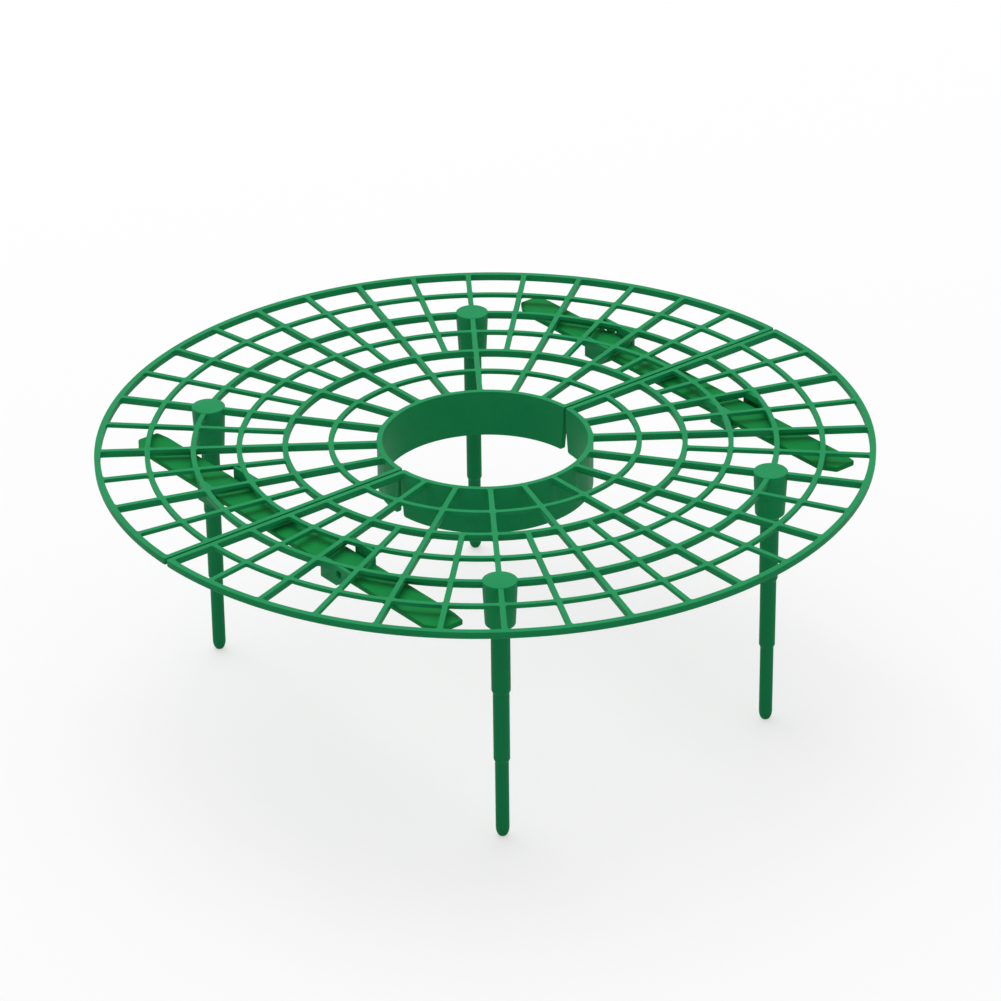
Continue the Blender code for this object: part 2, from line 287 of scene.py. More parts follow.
def combined(target: Mesh, tools: list[Mesh], operation: str) -> Mesh:
    """Joins closed meshes to another, or cuts them from it, all in one step.

    Args:
        target: The mesh that is worked on.
        tools: The meshes that are joined or cut away.
        operation: UNION or DIFFERENCE.

    Returns:
        The closed result.
    """
    body = place("target", target)
    helpers = bpy.data.collections.new("helpers")
    for tool in tools:
        helpers.objects.link(bpy.data.objects.new("tool", tool))
    boolean = body.modifiers.new("combine", "BOOLEAN")
    boolean.operation = operation
    boolean.solver = "EXACT"
    boolean.operand_type = "COLLECTION"
    boolean.collection = helpers
    result = settled(body)
    for helper in list(helpers.objects):
        bpy.data.objects.remove(helper, do_unlink=True)
    bpy.data.collections.remove(helpers)
    return without_slivers(result)


def without_slivers(mesh: Mesh) -> Mesh:
    """Takes away a mesh's edges and faces of no size, and pairs of faces with the same corners.

    Args:
        mesh: The mesh, which is changed.

    Returns:
        The same mesh.
    """
    shape = bmesh.new()
    shape.from_mesh(mesh)
    bmesh.ops.dissolve_degenerate(shape, edges=shape.edges, dist=SLIVER)
    alike: dict[frozenset[bmesh.types.BMVert], list[bmesh.types.BMFace]] = {}
    for face in shape.faces:
        alike.setdefault(frozenset(face.verts), []).append(face)
    flaps = [face for faces in alike.values() if len(faces) == 2 for face in faces]
    bmesh.ops.delete(shape, geom=flaps, context="FACES")
    shape.to_mesh(mesh)
    shape.free()
    return mesh


def turned_copy(mesh: Mesh, angle: float) -> Mesh:
    """Copies a mesh, turned about Z, so that the two share no data.

    Args:
        mesh: The mesh.
        angle: How far the copy is turned.

    Returns:
        The copy.
    """
    shape = bmesh.new()
    shape.from_mesh(mesh)
    bmesh.ops.transform(shape, matrix=Matrix.Rotation(angle, 4, "Z"), verts=shape.verts)
    copy = bpy.data.meshes.new(mesh.name)
    shape.to_mesh(copy)
    shape.free()
    return copy


def finished_mesh(name: str, shape: bmesh.types.BMesh) -> Mesh:
    """Welds a shape, turns its faces outwards and keeps it as a mesh.

    Args:
        name: The mesh's name.
        shape: The shape, which is freed.

    Returns:
        The mesh.
    """
    bmesh.ops.remove_doubles(shape, verts=shape.verts, dist=WELD)
    bmesh.ops.recalc_face_normals(shape, faces=shape.faces)
    mesh = bpy.data.meshes.new(name)
    shape.to_mesh(mesh)
    shape.free()
    return mesh


def lofted(name: str, sections: list[list[Point3]]) -> Mesh:
    """Joins a row of outlines of as many points, and closes both ends.

    Args:
        name: The mesh's name.
        sections: The outlines, from one end to the other.

    Returns:
        The closed mesh.
    """
    shape = bmesh.new()
    rows = [[shape.verts.new(point) for point in section] for section in sections]
    shape.faces.new(rows[0])
    shape.faces.new(rows[-1])
    for here, ahead in zip(rows, rows[1:]):
        for index in range(len(here)):
            after = (index + 1) % len(here)
            shape.faces.new((here[index], here[after], ahead[after], ahead[index]))
    return finished_mesh(name, shape)


def turned(name: str, profile: list[Point2], steps: int) -> Mesh:
    """Turns a profile about Z.

    Args:
        name: The mesh's name.
        profile: Radii and heights, from one pole to the other.
        steps: How many pieces the round has.

    Returns:
        The closed mesh.
    """
    shape = bmesh.new()
    line = [shape.verts.new((radius, 0.0, height)) for radius, height in profile]
    edges = [shape.edges.new(pair) for pair in zip(line, line[1:])]
    bmesh.ops.spin(
        shape,
        geom=line + edges,
        cent=(0.0, 0.0, 0.0),
        axis=(0.0, 0.0, 1.0),
        angle=math.tau,
        steps=steps,
    )
    return finished_mesh(name, shape)


def filleted(corners: list[tuple[float, float, float]], steps: int = 4) -> list[Point2]:
    """Rounds the corners of a closed outline.

    Args:
        corners: Each corner's place and the radius that it is rounded by.
        steps: How many pieces each rounded corner has.

    Returns:
        The outline's points.
    """
    points: list[Point2] = []
    for index, (x, y, radius) in enumerate(corners):
        here = Vector((x, y))
        if radius == 0.0:
            points.append((x, y))
            continue
        back = (Vector(corners[index - 1][:2]) - here).normalized()
        ahead = (Vector(corners[(index + 1) % len(corners)][:2]) - here).normalized()
        half = math.acos(back.dot(ahead)) / 2
        reach = radius / math.tan(half)
        centre = here + (back + ahead).normalized() * (radius / math.sin(half))
        start = here + back * reach - centre
        end = here + ahead * reach - centre
        first = math.atan2(start.y, start.x)
        sweep = (math.atan2(end.y, end.x) - first + math.pi) % math.tau - math.pi
        for step in range(steps + 1):
            turn = first + sweep * step / steps
            points.append((centre.x + radius * math.cos(turn), centre.y + radius * math.sin(turn)))
    return points


@dataclass(frozen=True)
class MouldedPlastic:
    """A satin moulded plastic with faint flow marks, a fine moulded grain and light rubbing.

    Colours are linear. Lengths are in metres.
    """

    name: str
    colour: Colour
    flow_colour: Colour
    grain: Grain = Grain.EVEN
    roughness: float = 0.46
    roughness_spread: float = 0.10
    specular: float = 0.045
    refraction: float = 1.49
    flow_size: float = 0.022
    grain_size: float = 0.0007
    grain_depth: float = 0.000012
    rub_size: float = 0.006
    rub_amount: float = 0.10

    def material(self) -> Material:
        """Builds the material.

        Returns:
            The new material.
        """
        material = bpy.data.materials.new(self.name)
        material.use_nodes = True
        graph = Graph(material.node_tree)
        position = graph.add("ShaderNodeTexCoord").outputs["Object"]
        stretch = {"Vector": position, "Scale": self.grain.value}
        drawn = graph.add("ShaderNodeMapping", stretch).outputs["Vector"]
        flow = {
            "Vector": drawn,
            "Colour": (*self.colour, 1.0),
            "Flow Colour": (*self.flow_colour, 1.0),
            "Size": self.flow_size,
        }
        rubbing = {
            "Vector": drawn,
            "Size": self.rub_size,
            "Amount": self.rub_amount,
            "Roughness": self.roughness,
            "Spread": self.roughness_spread,
        }
        grain = {"Vector": position, "Size": self.grain_size, "Depth": self.grain_depth}
        finish = {
            "Base Color": effect(graph, "flow marks", flow),
            "Roughness": effect(graph, "light rubbing", rubbing),
            "Normal": effect(graph, "moulded grain", grain),
            "Specular IOR Level": self.specular,
            "IOR": self.refraction,
        }
        graph.feed(graph.tree.nodes["Principled BSDF"], finish)
        return material


def effect(graph: Graph, name: str, feeds: Feeds) -> NodeSocket:
    """Places one of the shader groups that the plastics share, which is built the first time.

    Args:
        graph: The graph of the material that it goes in.
        name: The group's name, one of the keys below.
        feeds: What goes into it.

    Returns:
        What it puts out.
    """
    makers = {
        "flow marks": make_flow_marks,
        "light rubbing": make_light_rubbing,
        "moulded grain": make_moulded_grain,
    }
    group = bpy.data.node_groups.get(name) or makers[name](name)
    return graph.add("ShaderNodeGroup", feeds, node_tree=group).outputs[0]


def noise_in(graph: Graph, vector: Value, size: Value, detail: float) -> NodeSocket:
    """Adds a noise whose marks have a given size.

    Args:
        graph: Where it goes.
        vector: The coordinates that it reads, in metres.
        size: How large its marks are, in metres.
        detail: How many finer layers it has.

    Returns:
        The noise, from 0 to 1.
    """
    scale = graph.math("DIVIDE", 1.0, size)
    feeds = {"Vector": vector, "Scale": scale, "Detail": detail, "Roughness": 0.5}
    return graph.add("ShaderNodeTexNoise", feeds).outputs[0]


def ramped(graph: Graph, value: Value, low: float, high: float) -> NodeSocket:
    """Stretches part of a value's range to 0 to 1, with soft ends.

    Args:
        graph: Where it goes.
        value: What is stretched.
        low: What becomes 0.
        high: What becomes 1.

    Returns:
        The stretched value.
    """
    feeds = {"Value": value, "From Min": low, "From Max": high}
    node = graph.add("ShaderNodeMapRange", feeds, interpolation_type="SMOOTHSTEP")
    return node.outputs["Result"]


def make_flow_marks(name: str) -> NodeTree:
    """Soft patches of a second colour, as where the plastic met itself in the mould.

    Args:
        name: The group's name.

    Returns:
        The group.
    """
    fine_size, fine_strength = 0.12, 0.3
    low, high = 0.3, 0.7
    inputs = {"Vector": "Vector", "Colour": "Color", "Flow Colour": "Color", "Size": "Float"}
    graph, given, out = new_group(name, "ShaderNodeTree", inputs, {"Colour": "Color"})
    broad = noise_in(graph, given["Vector"], given["Size"], detail=2.0)
    smaller = graph.math("MULTIPLY", given["Size"], fine_size)
    fine = noise_in(graph, given["Vector"], smaller, detail=3.0)
    share = ramped(graph, graph.between(broad, fine, fine_strength), low, high)
    feeds = {"Factor": share, MIX_FIRST: given["Colour"], MIX_SECOND: given["Flow Colour"]}
    mix = graph.add("ShaderNodeMix", feeds, data_type="RGBA")
    graph.feed(out, {"Colour": mix.outputs[MIX_RESULT]})
    return graph.tree


def make_light_rubbing(name: str) -> NodeTree:
    """Roughness that varies softly, with short hairline scuffs that shine more.

    Args:
        name: The group's name.

    Returns:
        The group.
    """
    slant, stretch = (0.3, 0.2, 0.9), (1.0, 0.07, 1.0)
    hair_size, hair_low, hair_high = 0.09, 0.70, 0.80
    patch_size, patch_low, patch_high = 4.0, 0.48, 0.66
    inputs = dict.fromkeys(("Size", "Amount", "Roughness", "Spread"), "Float")
    inputs["Vector"] = "Vector"
    graph, given, out = new_group(name, "ShaderNodeTree", inputs, {"Roughness": "Float"})
    soft = noise_in(graph, given["Vector"], given["Size"], detail=3.0)
    swing = graph.math("MULTIPLY", graph.math("SUBTRACT", soft, 0.5), given["Spread"])
    feeds = {"Vector": given["Vector"], "Rotation": slant, "Scale": stretch}
    slanted = graph.add("ShaderNodeMapping", feeds).outputs["Vector"]
    size = graph.math("MULTIPLY", given["Size"], hair_size)
    hairs = ramped(graph, noise_in(graph, slanted, size, detail=1.0), hair_low, hair_high)
    size = graph.math("MULTIPLY", given["Size"], patch_size)
    patches = ramped(graph, noise_in(graph, given["Vector"], size, detail=1.0), patch_low, patch_high)
    scuff = graph.math("MULTIPLY", graph.math("MULTIPLY", hairs, patches), given["Amount"])
    base = graph.math("ADD", given["Roughness"], swing)
    graph.feed(out, {"Roughness": graph.math("SUBTRACT", base, scuff)})
    return graph.tree


def make_moulded_grain(name: str) -> NodeTree:
    """The fine eroded grain of the mould, with a slow waviness under it.

    Args:
        name: The group's name.

    Returns:
        The group.
    """
    slow_size, slow_height = 9.0, 3.0
    inputs = {"Vector": "Vector", "Size": "Float", "Depth": "Float"}
    graph, given, out = new_group(name, "ShaderNodeTree", inputs, {"Normal": "Vector"})
    fine = noise_in(graph, given["Vector"], given["Size"], detail=2.0)
    size = graph.math("MULTIPLY", given["Size"], slow_size)
    slow = graph.math("MULTIPLY", noise_in(graph, given["Vector"], size, detail=1.0), slow_height)
    height = graph.math("MULTIPLY", graph.math("ADD", fine, slow), given["Depth"])
    bump = graph.add("ShaderNodeBump", {"Height": height, "Strength": 1.0, "Distance": 1.0})
    graph.feed(out, {"Normal": bump.outputs["Normal"]})
    return graph.tree


GRID_GREEN = MouldedPlastic(
    name="grid_green_plastic",
    colour=(0.010, 0.262, 0.088),
    flow_colour=(0.014, 0.290, 0.098),
)
BAR_GREEN = MouldedPlastic(
    name="bar_green_plastic",
    colour=(0.007, 0.225, 0.048),
    flow_colour=(0.010, 0.250, 0.058),
    grain=Grain.ALONG_BAR,
    specular=0.025,
)
STAKE_GREEN = MouldedPlastic(
    name="stake_green_plastic",
    colour=(0.009, 0.222, 0.074),
    flow_colour=(0.011, 0.243, 0.082),
    grain=Grain.ALONG_STAKE,
)


def dress(name: str, mesh: Mesh, material: Material, node: str) -> Object:
    """Makes a finished piece that stands for a node of the frame and rides on its body.

    Args:
        name: The piece's name.
        mesh: Its mesh, with its place in it.
        material: Its finish.
        node: The node that it replaces.

    Returns:
        The piece.
    """
    mesh.materials.clear()
    mesh.materials.append(material)
    mesh.shade_smooth()
    shaded = place("shaded", mesh)
    weighted = shaded.modifiers.new("weighted", "WEIGHTED_NORMAL")
    weighted.mode = "FACE_AREA"
    weighted.weight = LARGE_FACES
    piece = place(name, settled(shaded))
    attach(piece, body_with(node))
    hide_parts(node)
    faces = len(piece.data.polygons)
    log.info("%s: %d faces, on %s, for %s", name, faces, body_with(node), node)
    return piece


def body_with(node: str) -> str:
    """The name of the body that holds a node."""
    bodies = frame["record"]["behaviour"]["bodies"]
    return next(body for body, nodes in bodies.items() if node in nodes)


@dataclass
class Lattice:
    """Half of the wheel of rings and spokes, and the rule that places its openings."""

    radius: float
    seam_gap: float
    top: float
    rim_width: float = 0.0024
    rim_band: float = 0.0191
    ring_pitch: float = 0.0176
    member_width: float = 0.0020
    slim_depth: float = 0.0015
    deep_depth: float = 0.0028
    rib_inset: float = 0.00003
    rings: int = 5
    bays: int = 10
    halved_bands: int = 4
    deep_rings: tuple[int, ...] = (1, 3)
    collar_radius: float = 0.0417
    collar_wall: float = 0.0021
    corner_radius: float = 0.0009
    corner_steps: int = 4
    edge_radius: float = 0.00075
    edge_steps: int = 4
    rib_rounding: float = 0.55
    parting_radius: float = 0.00010
    cell_arc_points: int = 9
    outline_arc_points: int = 121

    def ring_radius(self, index: int) -> float:
        """The middle radius of a ring, counted from the rim inwards."""
        return self.radius - self.rim_width / 2 - self.rim_band - index * self.ring_pitch

    def point_rule(self) -> NodeTree:
        """Builds the group that places a spline's points round a sector of a ring.

        The first half of the points runs along the outer arc and the rest back along the inner
        one. Each end of an arc lies a given distance from the ray that bounds the sector.

        Returns:
            The group.
        """
        names = ("Outer Radius", "Inner Radius", "First Angle", "Last Angle")
        names += ("First Face", "Last Face", "Arc Points")
        inputs = dict.fromkeys(names, "Float")
        outputs = {"Position": "Vector", "Corner": "Float"}
        graph, given, out = new_group("sector outline", "GeometryNodeTree", inputs, outputs)
        count = given["Arc Points"]
        index = graph.add("GeometryNodeSplineParameter").outputs["Index"]
        on_outer = graph.math("LESS_THAN", index, count)
        back = graph.math("SUBTRACT", graph.math("MULTIPLY", count, 2.0), 1.0)
        walked = graph.between(graph.math("SUBTRACT", back, index), index, on_outer)
        share = graph.math("DIVIDE", walked, graph.math("SUBTRACT", count, 1.0))
        radius = graph.between(given["Inner Radius"], given["Outer Radius"], on_outer)
        first_turn = graph.math("ARCSINE", graph.math("DIVIDE", given["First Face"], radius))
        last_turn = graph.math("ARCSINE", graph.math("DIVIDE", given["Last Face"], radius))
        start = graph.math("ADD", given["First Angle"], first_turn)
        end = graph.math("SUBTRACT", given["Last Angle"], last_turn)
        angle = graph.between(start, end, share)
        x = graph.math("MULTIPLY", radius, graph.math("COSINE", angle))
        y = graph.math("MULTIPLY", radius, graph.math("SINE", angle))
        point = graph.add("ShaderNodeCombineXYZ", {"X": x, "Y": y}).outputs["Vector"]
        at_start = graph.math("LESS_THAN", walked, 0.5)
        at_end = graph.math("GREATER_THAN", walked, graph.math("SUBTRACT", count, 1.5))
        graph.feed(out, {"Position": point, "Corner": graph.math("ADD", at_start, at_end)})
        return graph.tree

    def outline(
        self, graph: Graph, rule: NodeTree, start: Value, feeds: Feeds, corner: Value
    ) -> NodeSocket:
        """Moves a spline, or many copies of it, to the outline of a sector with round corners.

        Args:
            graph: The tree.
            rule: The group that places the points.
            start: The splines.
            feeds: The rule's inputs.
            corner: The radius of the corners.

        Returns:
            The placed splines.
        """
        placed = graph.add("GeometryNodeGroup", feeds, node_tree=rule).outputs
        feeds = {"Geometry": start, "Position": placed["Position"]}
        moved = graph.add("GeometryNodeSetPosition", feeds)
        feeds = {
            "Curve": moved.outputs["Geometry"],
            "Count": graph.math("MULTIPLY", placed["Corner"], self.corner_steps),
            "Radius": graph.math("MULTIPLY", placed["Corner"], corner),
        }
        return graph.add("GeometryNodeFilletCurve", feeds, mode="POLY").outputs["Curve"]

    def tree(self) -> NodeTree:
        """Builds the geometry nodes of a half wheel.

        Returns:
            The tree.
        """
        lengths = ("Outer Radius", "Rim Width", "First Ring Radius", "Ring Pitch", "Member Width")
        lengths += ("Collar Radius", "Bore Radius", "Seam Gap", "Corner Radius", "Low", "Depth")
        counts = ("Rings", "Bays", "Halved Bands", "Cell Arc Points", "Outline Arc Points")
        inputs = {"Geometry": "Geometry", "Plastic": "Material"}
        inputs |= dict.fromkeys((*lengths, "Top Weight", "Bottom Weight"), "Float")
        inputs |= dict.fromkeys(counts, "Int")
        outputs = {"Geometry": "Geometry"}
        graph, given, out = new_group("half wheel", "GeometryNodeTree", inputs, outputs)
        rule = self.point_rule()
        edge = self.edge(graph, given, rule)
        openings = self.openings(graph, given, rule)
        outlines = graph.join(openings, edge)
        flat = graph.add("GeometryNodeFillCurve", {"Curve": outlines}, mode="NGONS")
        low = graph.add("ShaderNodeCombineXYZ", {"Z": given["Low"]})
        feeds = {"Geometry": flat.outputs["Mesh"], "Offset": low.outputs["Vector"]}
        base = graph.add("GeometryNodeSetPosition", feeds).outputs["Geometry"]
        feeds = {
            "Mesh": base,
            "Offset": (0.0, 0.0, 1.0),
            "Offset Scale": given["Depth"],
            "Individual": False,
        }
        raised = graph.add("GeometryNodeExtrudeMesh", feeds, mode="FACES")
        under = graph.add("GeometryNodeFlipFaces", {"Mesh": base})
        closed = graph.join(under.outputs["Mesh"], raised.outputs["Mesh"])
        feeds = {"Geometry": closed, "Distance": SLIVER}
        welded = graph.add("GeometryNodeMergeByDistance", feeds)
        weighted = self.edge_weights(graph, given, welded.outputs["Geometry"])
        real = graph.add("GeometryNodeRealizeInstances", {"Geometry": weighted})
        feeds = {"Geometry": real.outputs["Geometry"], "Material": given["Plastic"]}
        painted = graph.add("GeometryNodeSetMaterial", feeds)
        graph.feed(out, {"Geometry": painted.outputs["Geometry"]})
        return graph.tree

    def edge(self, graph: Graph, given: dict[str, NodeSocket], rule: NodeTree) -> NodeSocket:
        """Draws the outer edge of the half wheel, all round.

        Args:
            graph: The tree.
            given: The tree's inputs.
            rule: The group that places the points.

        Returns:
            The closed spline.
        """
        seam = graph.math("MULTIPLY", given["Seam Gap"], 0.5)
        points = graph.math("MULTIPLY", given["Outline Arc Points"], 2.0)
        circle = graph.add("GeometryNodeCurvePrimitiveCircle", {"Resolution": points})
        feeds = {
            "Outer Radius": given["Outer Radius"],
            "Inner Radius": given["Bore Radius"],
            "First Angle": 0.0,
            "Last Angle": math.pi,
            "First Face": seam,
            "Last Face": seam,
            "Arc Points": given["Outline Arc Points"],
        }
        return self.outline(graph, rule, circle.outputs["Curve"], feeds, given["Corner Radius"])

    def openings(self, graph: Graph, given: dict[str, NodeSocket], rule: NodeTree) -> NodeSocket:
        """Draws the openings between the members.

        Every opening is a copy of one spline. Its number says in which band between two rings it
        lies, and which sector of that band it fills; the outer bands have twice as many sectors.

        Args:
            graph: The tree.
            given: The tree's inputs.
            rule: The group that places the points.

        Returns:
            The closed splines.
        """
        half_width = graph.math("MULTIPLY", given["Member Width"], 0.5)
        seam = graph.math("MULTIPLY", given["Seam Gap"], 0.5)
        fine_sectors = graph.math("MULTIPLY", given["Bays"], 2.0)
        fine_cells = graph.math("MULTIPLY", fine_sectors, given["Halved Bands"])
        bands = graph.math("ADD", given["Rings"], 1.0)
        plain_bands = graph.math("SUBTRACT", bands, given["Halved Bands"])
        cells = graph.math("MULTIPLY_ADD", plain_bands, given["Bays"], fine_cells)
        points = graph.math("MULTIPLY", given["Cell Arc Points"], 2.0)
        circle = graph.add("GeometryNodeCurvePrimitiveCircle", {"Resolution": points})
        feeds = {"Geometry": circle.outputs["Curve"], "Amount": cells}
        copies = graph.add("GeometryNodeDuplicateElements", feeds, domain="SPLINE")
        number = copies.outputs["Duplicate Index"]
        fine = graph.math("LESS_THAN", number, fine_cells)
        sectors = graph.between(given["Bays"], fine_sectors, fine)
        past = graph.math("SUBTRACT", number, fine_cells)
        number = graph.between(past, number, fine)
        row = graph.math("FLOOR", graph.math("DIVIDE", graph.math("ADD", number, 0.5), sectors))
        sector = graph.math("SUBTRACT", number, graph.math("MULTIPLY", row, sectors))
        band = graph.between(graph.math("ADD", row, given["Halved Bands"]), row, fine)
        down = graph.math("MULTIPLY", band, given["Ring Pitch"])
        ring = graph.math("SUBTRACT", given["First Ring Radius"], down)
        rim_inside = graph.math("SUBTRACT", given["Outer Radius"], given["Rim Width"])
        ring_above = graph.math("ADD", ring, given["Ring Pitch"])
        ring_inside = graph.math("SUBTRACT", ring_above, half_width)
        ring_outside = graph.math("ADD", ring, half_width)
        is_first = graph.math("LESS_THAN", band, 0.5)
        is_last = graph.math("GREATER_THAN", band, graph.math("SUBTRACT", given["Rings"], 0.5))
        step = graph.math("DIVIDE", math.pi, sectors)
        seam_face = graph.math("ADD", seam, given["Member Width"])
        at_start = graph.math("LESS_THAN", sector, 0.5)
        at_end = graph.math("GREATER_THAN", sector, graph.math("SUBTRACT", sectors, 1.5))
        feeds = {
            "Outer Radius": graph.between(ring_inside, rim_inside, is_first),
            "Inner Radius": graph.between(ring_outside, given["Collar Radius"], is_last),
            "First Angle": graph.math("MULTIPLY", sector, step),
            "Last Angle": graph.math("MULTIPLY", graph.math("ADD", sector, 1.0), step),
            "First Face": graph.between(half_width, seam_face, at_start),
            "Last Face": graph.between(half_width, seam_face, at_end),
            "Arc Points": given["Cell Arc Points"],
        }
        start = copies.outputs["Geometry"]
        return self.outline(graph, rule, start, feeds, given["Corner Radius"])

    def edge_weights(self, graph: Graph, given: dict[str, NodeSocket], solid: Value) -> NodeSocket:
        """Marks how far the upper and the lower edges are rounded.

        Args:
            graph: The tree.
            given: The tree's inputs.
            solid: The plain solid.

        Returns:
            The solid with weights on its edges.
        """
        height = graph.add("GeometryNodeInputPosition").outputs["Position"]
        height = graph.add("ShaderNodeSeparateXYZ", {"Vector": height}).outputs["Z"]
        middle = graph.math("MULTIPLY_ADD", given["Depth"], 0.5, given["Low"])
        upper = graph.math("GREATER_THAN", height, middle)
        weight = graph.between(given["Bottom Weight"], given["Top Weight"], upper)
        angle = graph.add("GeometryNodeInputMeshEdgeAngle").outputs["Unsigned Angle"]
        sharp = graph.math("GREATER_THAN", angle, SHARP_ANGLE)
        weight = graph.math("MULTIPLY", sharp, weight)
        feeds = {"Geometry": solid, "Name": "bevel_weight_edge", "Value": weight}
        kind = "GeometryNodeStoreNamedAttribute"
        return graph.add(kind, feeds, data_type="FLOAT", domain="EDGE").outputs["Geometry"]

    def wheel(self, tree: NodeTree, values: dict[str, Value | Material]) -> Mesh:
        """Runs the tree and rounds the edges that it marks.

        Args:
            tree: The geometry nodes.
            values: The tree's inputs, by name.

        Returns:
            The half wheel as one plain mesh.
        """
        obj = place("wheel", bpy.data.meshes.new("wheel"))
        modifier = obj.modifiers.new("wheel", "NODES")
        modifier.node_group = tree
        for item in tree.interface.items_tree:
            if item.in_out == "INPUT" and item.name in values:
                modifier[item.identifier] = values[item.name]
        add_rounding(obj, self.edge_radius, self.edge_steps, "WEIGHT")
        return settled(obj)

    def meshes(self, plastic: Material) -> list[Mesh]:
        """Builds the flat grid and the deeper ribs under it.

        Args:
            plastic: What they are made of.

        Returns:
            The grid of all members, and the wheel of the deep ones.
        """
        tree = self.tree()
        inset = self.rib_inset
        first, second = self.deep_rings
        shared = {
            "Corner Radius": self.corner_radius,
            "Cell Arc Points": self.cell_arc_points,
            "Outline Arc Points": self.outline_arc_points,
            "Bays": self.bays,
            "Plastic": plastic,
        }
        members = {
            "Outer Radius": self.radius,
            "Rim Width": self.rim_width,
            "First Ring Radius": self.ring_radius(0),
            "Ring Pitch": self.ring_pitch,
            "Member Width": self.member_width,
            "Collar Radius": self.collar_radius,
            "Bore Radius": self.collar_radius - self.collar_wall,
            "Seam Gap": self.seam_gap,
            "Low": self.top - self.slim_depth,
            "Depth": self.slim_depth,
            "Rings": self.rings,
            "Halved Bands": self.halved_bands,
            "Top Weight": 1.0,
            "Bottom Weight": self.parting_radius / self.edge_radius,
        }
        ribs = {
            "Outer Radius": self.radius - inset,
            "Rim Width": self.rim_width - 2 * inset,
            "First Ring Radius": self.ring_radius(first),
            "Ring Pitch": self.ring_pitch * (second - first),
            "Member Width": self.member_width - 2 * inset,
            "Collar Radius": self.collar_radius - inset,
            "Bore Radius": self.collar_radius - self.collar_wall / 2,
            "Seam Gap": self.seam_gap + 2 * inset,
            "Low": self.top - self.deep_depth,
            "Depth": self.deep_depth - self.slim_depth / 2,
            "Rings": len(self.deep_rings),
            "Halved Bands": 0,
            "Top Weight": 0.0,
            "Bottom Weight": self.rib_rounding,
        }
        return [self.wheel(tree, shared | own) for own in (members, ribs)]


@dataclass
class Collar:
    """Half of the band that stands round the crown of the plant."""

    outer_radius: float
    wall: float
    seam_gap: float
    low: float
    high: float
    draft_top: float
    end_draft: float = 0.0019
    corner_radius: float = 0.0012
    edge_radius: float = 0.0004
    arc_steps: int = 72
    corner_steps: int = 6

    def end_line(self) -> list[Point2]:
        """Follows the edge of an end, which slopes back from the seam to a round lower corner.

        Returns:
            Distances from the seam's middle, and heights, from the seam to the level foot.
        """
        start = self.seam_gap / 2
        knee = self.draft_top - start * (self.draft_top - self.low) / self.end_draft
        level = self.end_draft + 2 * self.corner_radius
        corners = [
            (start, knee, 0.0),
            (self.end_draft, self.low, self.corner_radius),
            (level, self.low, 0.0),
        ]
        return filleted(corners, self.corner_steps)

    def stations(self) -> list[tuple[tuple[float, float], float]]:
        """Where the band's sections stand.

        Returns:
            Each section's angles on the outer and the inner side, and its lowest height.
        """
        radii = (self.outer_radius, self.outer_radius - self.wall)
        line = self.end_line()
        ends = [
            (tuple(math.asin(away / radius) for radius in radii), height)
            for away, height in line
        ]
        first = ends[-1][0]
        middle = []
        for step in range(1, self.arc_steps):
            share = step / self.arc_steps
            turns = tuple(turn + (math.pi - 2 * turn) * share for turn in first)
            middle.append((turns, self.low))
        far = [
            (tuple(math.pi - turn for turn in turns), height) for turns, height in reversed(ends)
        ]
        return ends + middle + far

    def mesh(self) -> Mesh:
        """Builds the half band, with soft edges.

        Returns:
            The closed mesh.
        """
        sections = []
        for (outer_turn, inner_turn), low in self.stations():
            section = []
            for radius, turn, heights in (
                (self.outer_radius, outer_turn, (low, self.high)),
                (self.outer_radius - self.wall, inner_turn, (self.high, low)),
            ):
                x, y = radius * math.cos(turn), radius * math.sin(turn)
                section += [(x, y, height) for height in heights]
            sections.append(section)
        return rounded(lofted("collar", sections), self.edge_radius)


@dataclass
class Socket:
    """The tapered boss that takes a stake's head, closed on top by a flat cap."""

    x: float
    y: float
    top: float
    mouth: float
    bore_radius: float
    shoulder: float
    roof: float
    wall: float = 0.0018
    taper: float = 0.0009
    lower_edge: float = 0.0013
    cap_rounding: float = 0.0004
    side_rounding: float = 0.0006
    mouth_rounding: float = 0.0005
    core_radius: float = 0.0024
    lead_in: float = 0.0004
    steps: int = 56

    def boss(self) -> Mesh:
        """Builds the solid boss.

        Returns:
            The closed mesh, in place.
        """
        foot = self.bore_radius + self.wall
        outline = filleted(
            [
                (0.0, self.top, 0.0),
                (foot + self.taper, self.top, self.cap_rounding),
                (foot, self.mouth + self.lower_edge, self.side_rounding),
                (foot - self.lower_edge, self.mouth, self.mouth_rounding),
                (0.0, self.mouth, 0.0),
            ]
        )
        return self.in_place(turned("boss", outline, self.steps))

    def bore(self) -> Mesh:
        """Builds the cutter for the bore, with a small lead-in at the mouth.

        Returns:
            The closed mesh, in place.
        """
        below = self.mouth - self.lead_in
        outline = [
            (0.0, self.roof),
            (self.core_radius, self.roof),
            (self.core_radius, self.shoulder),
            (self.bore_radius, self.shoulder),
            (self.bore_radius, self.mouth + self.lead_in),
            (self.bore_radius + 2 * self.lead_in, below),
            (0.0, below),
        ]
        return self.in_place(turned("bore", outline, self.steps))

    def mesh(self) -> Mesh:
        """Builds the bored boss."""
        return combined(self.boss(), [self.bore()], "DIFFERENCE")

    def in_place(self, mesh: Mesh) -> Mesh:
        """Moves a mesh to the socket's axis and returns it."""
        mesh.transform(Matrix.Translation((self.x, self.y, 0.0)))
        return mesh


